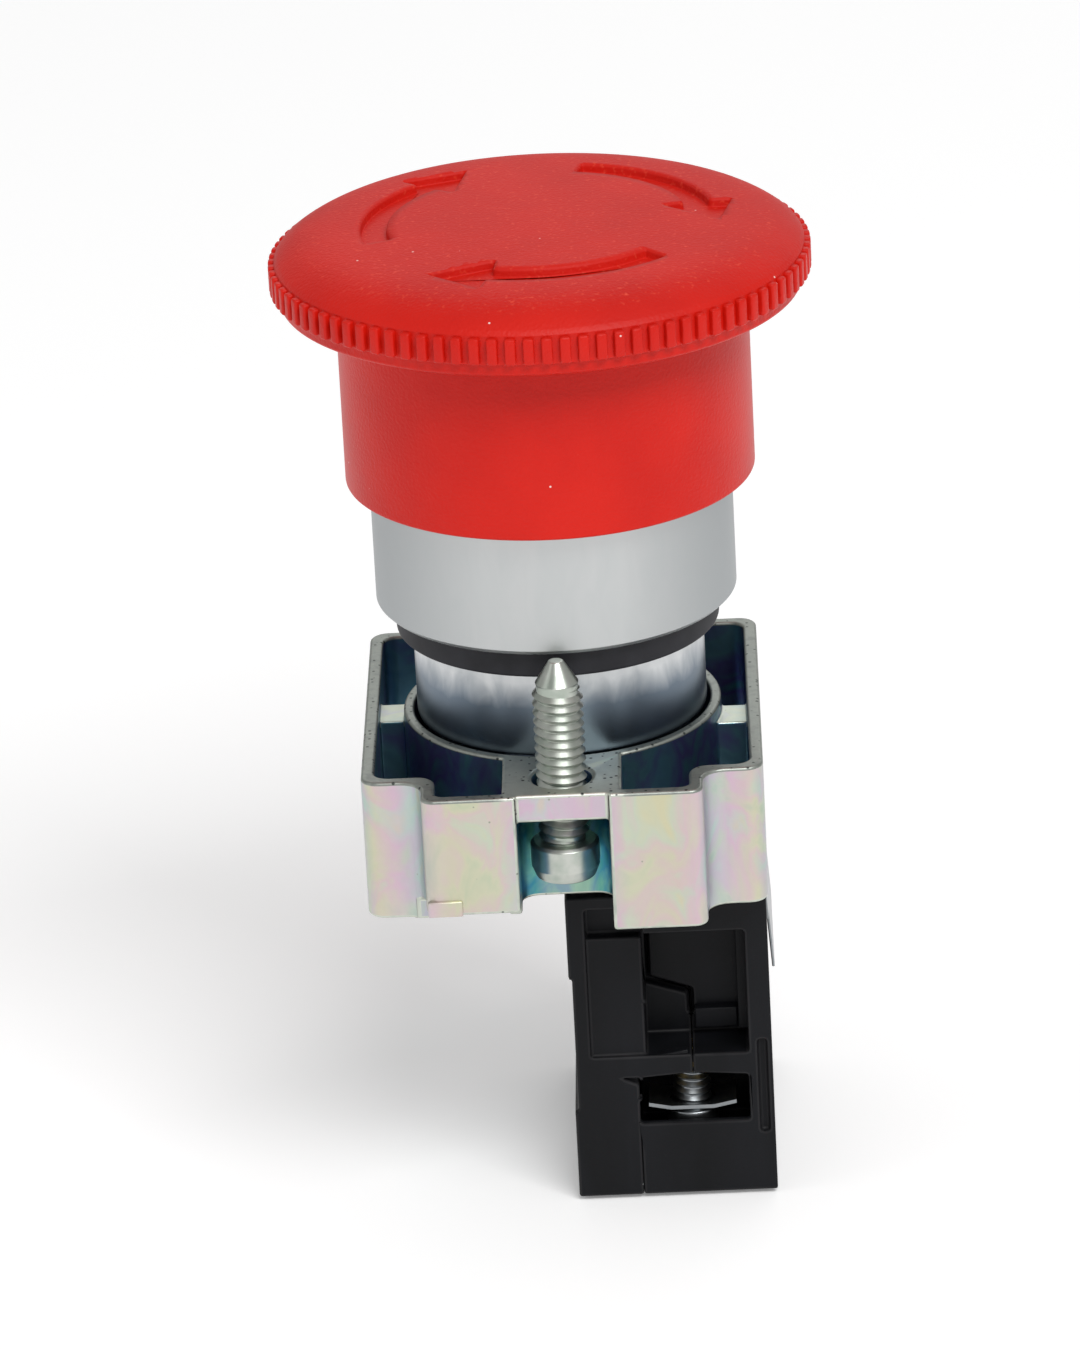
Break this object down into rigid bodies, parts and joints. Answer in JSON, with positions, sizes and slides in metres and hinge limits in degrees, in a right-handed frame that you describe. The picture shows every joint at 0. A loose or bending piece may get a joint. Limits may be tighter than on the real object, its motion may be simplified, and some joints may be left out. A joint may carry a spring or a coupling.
{
  "type": "emergency stop push button",
  "caption": "Red mushroom-head emergency stop button, twist to release, with metal bezel, panel collar with clamp screws and a side-hung contact block.",
  "frame": {"origin": "on the button's axis, in the plane where the gasket's underside meets the front of the panel", "axes": "+Z along the button's axis towards the operator; +X towards the side on which the contact block hangs; -Y is the side of the front clamp screw"},
  "size_m": [0.04, 0.04, 0.0741],
  "materials": {
    "cap_red": "fine satin red moulding",
    "cast_zinc": "satin plated zinc casting",
    "passivated_zinc": "iridescent passivated zinc casting",
    "bright_steel": "bright zinc-plated steel",
    "spring_steel": "drawn spring steel",
    "black_rubber": "matt moulded rubber",
    "black_nylon": "fine-grained black moulding",
    "white_acetal": "smooth natural moulding",
    "brass_strip": "rolled brass",
    "copper_strip": "rolled copper",
    "silver_contact": "silver contact tip"
  },
  "bodies": {
    "root": {"head_body": "cast_zinc", "panel_gasket": "black_rubber", "stem_seal": "black_rubber", "return_spring": "spring_steel", "mounting_collar": "passivated_zinc", "block_shell_left": "black_nylon", "block_shell_right": "black_nylon", "plunger_spring": "spring_steel", "fixed_contact_front": "brass_strip", "fixed_contact_rear": "brass_strip", "fixed_tip_front": "silver_contact", "fixed_tip_rear": "silver_contact"},
    "push_rod": {"push_foot": "black_nylon"},
    "mushroom": {"mushroom_cap": "cap_red", "stem": "white_acetal", "foot_clip": "spring_steel", "latch_spring": "spring_steel"},
    "latch_left": {"latch_pin_left": "bright_steel"},
    "latch_right": {"latch_pin_right": "bright_steel"},
    "plunger": {"block_plunger": "white_acetal", "contact_bridge": "copper_strip", "contact_spring": "spring_steel", "bridge_tip_front": "silver_contact", "bridge_tip_rear": "silver_contact"},
    "clamp_front": {"clamp_screw_front": "bright_steel"},
    "clamp_rear": {"clamp_screw_rear": "bright_steel"},
    "terminal_front": {"terminal_screw_front": "bright_steel", "clamp_washer_front": "bright_steel"},
    "terminal_rear": {"terminal_screw_rear": "bright_steel", "clamp_washer_rear": "bright_steel"},
    "clip": {"retaining_clip": "spring_steel"}
  },
  "joints": [
    {"name": "press_slide", "type": "slide", "parent": "root", "child": "push_rod", "axis": [0, 0, -1], "range_m": [0, 0.005], "stiffness_N_per_m": 1500, "springref_m": -0.004, "deforming": ["return_spring"]},
    {"name": "cap_turn", "type": "hinge", "parent": "push_rod", "child": "mushroom", "pos_m": [0, 0, 0.0317], "axis": [0, 0, -1], "range_deg": [0, 45], "stiffness_Nm_per_rad": 0.02, "springref_deg": -17.19},
    {"name": "latch_left_slide", "type": "slide", "parent": "mushroom", "child": "latch_left", "axis": [-1, 0, 0], "range_m": [0, 0.001]},
    {"name": "latch_right_slide", "type": "slide", "parent": "mushroom", "child": "latch_right", "axis": [1, 0, 0], "range_m": [0, 0.001]},
    {"name": "plunger_slide", "type": "slide", "parent": "root", "child": "plunger", "axis": [0, 0, -1], "range_m": [0, 0.005], "deforming": ["plunger_spring"]},
    {"name": "clamp_front_slide", "type": "slide", "parent": "root", "child": "clamp_front", "axis": [0, 0, -1], "range_m": [0, 0.0085]},
    {"name": "clamp_rear_slide", "type": "slide", "parent": "root", "child": "clamp_rear", "axis": [0, 0, -1], "range_m": [0, 0.0085]},
    {"name": "terminal_front_slide", "type": "slide", "parent": "root", "child": "terminal_front", "axis": [0, 0, 1], "range_m": [0, 0.001]},
    {"name": "terminal_rear_slide", "type": "slide", "parent": "root", "child": "terminal_rear", "axis": [0, 0, 1], "range_m": [0, 0.001]},
    {"name": "clip_flex", "type": "hinge", "parent": "root", "child": "clip", "pos_m": [0.01455, 0, -0.0182], "axis": [0, -1, 0], "range_deg": [0, 4], "stiffness_Nm_per_rad": 0.5}
  ],
  "couplings": [
    {"joint": "latch_left_slide", "follows": "press_slide", "ratio": 0.2},
    {"joint": "latch_right_slide", "follows": "press_slide", "ratio": 0.2},
    {"joint": "plunger_slide", "follows": "press_slide", "ratio": 1}
  ]
}
